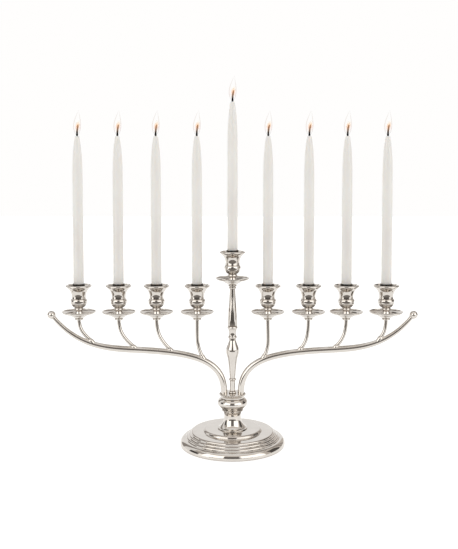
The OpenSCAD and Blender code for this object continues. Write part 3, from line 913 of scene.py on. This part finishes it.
wick_l = WICK_TOP - CANDLE_TOP
wick = [(0, -1.5)]
for i in range(31):
    share = i / 30
    twist = 0.1 * math.sin(share * 34)
    narrow = 1 - 0.28 * share - 0.5 * max(0, share - 0.9) * 8
    wick.append((WICK_R * narrow + twist * (1 - share), -1.5 + share * (wick_l + 1.4)))
wick.append((0, wick_l - 0.05))
wick_mesh = leaned(lathe("cotton_wick", wick, 24, painted_groove_shade=False), 2, LEAN_MM, wick_l)

mantle = [(0, 1.2)] + curve([(0.01, 1.2), (3.0, 1.8), (4.6, 7.5), (4.5, 14)], 20)
mantle += curve([(4.5, 14), (4.2, 19.5), (1.6, 26), (0.02, FLAME_H)], 24)[1:] + [(0, FLAME_H)]
glow = [(0, 3)] + curve([(0.01, 3), (2.4, 4), (2.8, 8), (2.8, 12)], 14)
glow += curve([(2.8, 12), (2.8, 16), (1.4, 19), (0.02, 21)], 24)[1:] + [(0, 21)]
mantle_mesh = leaned(lathe("flame_mantle", mantle, 48, painted_groove_shade=False), 6, FLAME_LEAN_MM, FLAME_H - 6)
glow_mesh = leaned(lathe("flame_glow", glow, 48, painted_groove_shade=False), 2, FLAME_LEAN_MM, 18)

for n in LIGHTS:
    x, y, z = (c * MM for c in PLACE[n])
    wax_top = z + CANDLE_TOP * MM
    body = "lift_" + n
    piece(f"taper_candle_{n}", candle_mesh, WAX, (x, y, z), body, [f"candle_{n}"])
    piece(f"wick_braid_{n}", wick_mesh, CHAR, (x, y, wax_top), body, [f"wick_{n}"])
    for shell, mesh, material in (("mantle", mantle_mesh, MANTLE), ("glow", glow_mesh, GLOW)):
        flame = piece(f"flame_{shell}_{n}", mesh, material, (x, y, wax_top), body)
        flame.visible_shadow = False
flame_top = round(PLACE["middle"][2] + CANDLE_TOP + FLAME_H, 1)
print("candles", len(LIGHTS), "top of middle flame at", flame_top, "mm")

# %% [markdown]
# ## The studio
#
# Polished metal is a picture of its room. It is shown here in a white light tent: bright on every
# side, on a white table lit from below. Two softboxes give the highlights. Black flags put dark
# lines into the metal: one in front, where the camera's own shade is, one at either side, and a
# black cloth on the table's front half, which the cups see in their lower parts. The right side is
# hung with grey. Panels are pieces of a big sphere, set by angles: azimuth 0 is the camera's side
# and grows to the right. Metal sees them all in its reflections, and the camera sees none. Their
# angles and brightnesses suit the front view; from other sides the metal looks plainer.

# %% Table, tent and panels
PANEL_DISTANCE, LAYER_GAP = 1.7, 0.05
TENT_CENTRE = Vector((0, 0, 0.15))


def glow_material(name, colour, strength):
    m = new_material(name)
    light = add(m, "ShaderNodeEmission", {"Color": colour, "Strength": strength})
    add(m, "ShaderNodeOutputMaterial", links={"Surface": light.outputs[0]})
    return m


def panel(name, azimuths, elevations, radiance, layer=0, grid=10):
    """A glowing piece of the sphere; radiance 1 is as bright as the tent itself."""
    distance = PANEL_DISTANCE - layer * LAYER_GAP
    points, faces = [], []
    for i in range(grid + 1):
        for j in range(grid + 1):
            a = math.radians(azimuths[0] + (azimuths[1] - azimuths[0]) * i / grid)
            e = math.radians(elevations[0] + (elevations[1] - elevations[0]) * j / grid)
            way = Vector((math.sin(a) * math.cos(e), -math.cos(a) * math.cos(e), math.sin(e)))
            points.append(TENT_CENTRE + way * distance)
    for i in range(grid):
        for j in range(grid):
            k = i * (grid + 1) + j
            faces.append((k, k + 1, k + grid + 2, k + grid + 1))
    return studio_sheet(name, points, faces, SOFT_WHITE if radiance > 1 else WARM_CLOTH, radiance)


def ring_panel(name, elevation, inner, outer, radiance, steps=48):
    """A ring on the sphere behind the object; inner and outer are its half angles."""
    tilt = Euler((math.radians(-90 + elevation), 0, 0)).to_matrix()
    points, faces = [], []
    for j in range(steps):
        b = 2 * math.pi * j / steps
        for half_angle in (inner, 0.5 * (inner + outer), outer):
            a = math.radians(half_angle)
            way = tilt @ Vector((math.sin(a) * math.cos(b), math.sin(a) * math.sin(b), math.cos(a)))
            points.append(TENT_CENTRE + way * PANEL_DISTANCE)
    for j in range(steps):
        k, n = 3 * j, 3 * ((j + 1) % steps)
        faces += [(k, k + 1, n + 1, n), (k + 1, k + 2, n + 2, n + 1)]
    return studio_sheet(name, points, faces, WARM_CLOTH, radiance)


def studio_sheet(name, points, faces, colour, radiance):
    """A glowing sheet that is seen in reflections but not by the camera, and casts no shadow."""
    mesh = bpy.data.meshes.new(name)
    mesh.from_pydata(points, [], faces)
    o = bpy.data.objects.new(name, mesh)
    bpy.context.scene.collection.objects.link(o)
    mesh.materials.append(glow_material(name + "_face", colour, radiance))
    o.visible_camera = False
    o.visible_shadow = False
    o.visible_diffuse = False
    return o


SOFT_WHITE = linear("#fffdf9")
WARM_CLOTH = linear("#fff6ee")
panel("grey_side_right", (72, 158), (-12, 46), 0.68)
panel("softbox_left", (-67, -18), (-5, 42), 2.0, 1)
panel("softbox_left_corner", (-80, -67), (-5, 14), 1.3, 1)
panel("softbox_right", (19, 74), (0, 42), 1.9, 1)
panel("front_top", (-66, 74), (42, 60), 0.8, 1)
front_flag = panel("black_flag_front", (-19, 15), (-5, 38), 0.2, 2)
skirt = panel("black_skirt_front", (-50, 42), (-12, 0), 0.12, 2)
panel("black_flag_left", (-103, -77), (-9, 19), 0.08, 2)
panel("grey_flag_left_top", (-100, -68), (19, 42), 0.5, 2)
panel("black_flag_right", (88, 120), (-8, 34), 0.1, 2)
panel("dark_corner_left", (-155, -112), (50, 74), 0.15, 1)
panel("grey_corner_right", (112, 155), (46, 74), 0.35, 1)
ring_panel("grey_ring_behind", 6, 36, 55, 0.35)

# The black cloth lies on the table like a slice of a ring, from 0.48 m in front of the menorah on.
CLOTH_NEAR, CLOTH_FAR, CLOTH_STEPS = 0.48, 1.6, 12
CLOTH_FROM, CLOTH_TO = -50, 42
points, faces = [], []
for i in range(CLOTH_STEPS + 1):
    a = math.radians(CLOTH_FROM + (CLOTH_TO - CLOTH_FROM) * i / CLOTH_STEPS)
    points += [Vector((math.sin(a), -math.cos(a), 0.001)) * r for r in (CLOTH_NEAR, CLOTH_FAR)]
    if i:
        k = 2 * i
        faces.append((k - 2, k - 1, k + 1, k))
studio_sheet("black_cloth_on_the_table", points, faces, WARM_CLOTH, 0.2)

# A small gobo lies flat in front at half height, for the cups' lower parts. It is dark from above
# and clear from below, so that the base does not see it. No real card can do that.
GOBO_Z = 0.10
GOBO_CORNERS = ((-0.6, -0.45), (0.5, -0.45), (0.4, -0.13), (-0.4, -0.13))
corners = [Vector((x, y, GOBO_Z)) for x, y in GOBO_CORNERS]
gobo = studio_sheet("gobo_below_the_cups", corners, [(0, 1, 2, 3)], WARM_CLOTH, 0.25)
face = gobo.active_material
below = add(face, "ShaderNodeNewGeometry").outputs["Backfacing"]
clear = add(face, "ShaderNodeBsdfTransparent").outputs[0]
out = next(n for n in face.node_tree.nodes if n.bl_idname == "ShaderNodeOutputMaterial")
glow_socket = out.inputs["Surface"].links[0].from_socket
one_sided = add(face, "ShaderNodeMixShader", links={0: below, 1: glow_socket, 2: clear})
face.node_tree.links.new(one_sided.outputs[0], out.inputs["Surface"])

# Wax is lit, not mirrored, so two of the dark panels count in its light as well. They shade it from
# the front, and its middle is darker than its sides.
for o in (front_flag, skirt):
    o.visible_diffuse = True

world = bpy.data.worlds.new("white_tent")
world.use_nodes = True
sky = world.node_tree.nodes["Background"]
sky.inputs["Color"].default_value = linear("#fffefd")
sky.inputs["Strength"].default_value = 1.0
bpy.context.scene.world = world

# %% [markdown]
# The table is a sheet of opal acrylic with lamps under it, the usual way to lose a shadow: most of
# its light comes through from below and the rest is what falls on it.

# %% Lit table


def opal_acrylic():
    m = new_material("opal_acrylic_table")
    grain = add(
        m, "ShaderNodeTexNoise", {"Scale": 40.0, "Detail": 2.0},
        {"Vector": add(m, "ShaderNodeTexCoord").outputs["Object"]},
    )
    rough = add(m, "ShaderNodeMapRange", {"To Min": 0.5, "To Max": 0.6}, {"Value": grain.outputs["Fac"]})
    surface = add(
        m, "ShaderNodeBsdfPrincipled",
        {"Base Color": linear("#8a8a88"), "Emission Color": linear("#fffefd"), "Emission Strength": 0.9,
         "Specular IOR Level": 0.1},
        {"Roughness": rough.outputs[0]},
    )
    add(m, "ShaderNodeOutputMaterial", links={"Surface": surface.outputs[0]})
    return m


table_mesh = bpy.data.meshes.new("lit_table")
TABLE_HALF = 6.0
table_corners = [(x * TABLE_HALF, y * TABLE_HALF, 0) for x, y in ((-1, -1), (1, -1), (1, 1), (-1, 1))]
table_mesh.from_pydata(table_corners, [], [(0, 1, 2, 3)])
table = bpy.data.objects.new("lit_table", table_mesh)
bpy.context.scene.collection.objects.link(table)
table_mesh.materials.append(opal_acrylic())
print("studio ready")

# %% [markdown]
# ## The camera
#
# A short telephoto at table height, looking down a little on the pans and the base. The lens is
# shifted slightly so that the menorah stands in the middle of the frame without tilting it.

# %% Camera and picture settings
FOCAL_LENGTH_MM = 51.15
LENS_SHIFT = (-0.0064, -0.09)
CAMERA_PLACE = (0, -0.953, 0.327)
CAMERA_TILT = 86.7  # 90 would look level

lens = bpy.data.cameras.new("studio_camera")
lens.sensor_fit = "VERTICAL"
lens.sensor_height = 36
lens.lens = FOCAL_LENGTH_MM
lens.shift_x, lens.shift_y = LENS_SHIFT
lens.clip_start = 0.05
camera = bpy.data.objects.new("studio_camera", lens)
bpy.context.scene.collection.objects.link(camera)
camera.location = CAMERA_PLACE
camera.rotation_euler = Euler((math.radians(CAMERA_TILT), 0, 0))
bpy.context.scene.camera = camera
bpy.context.scene.view_settings.view_transform = "Standard"
print("camera at", tuple(round(c, 3) for c in camera.location))
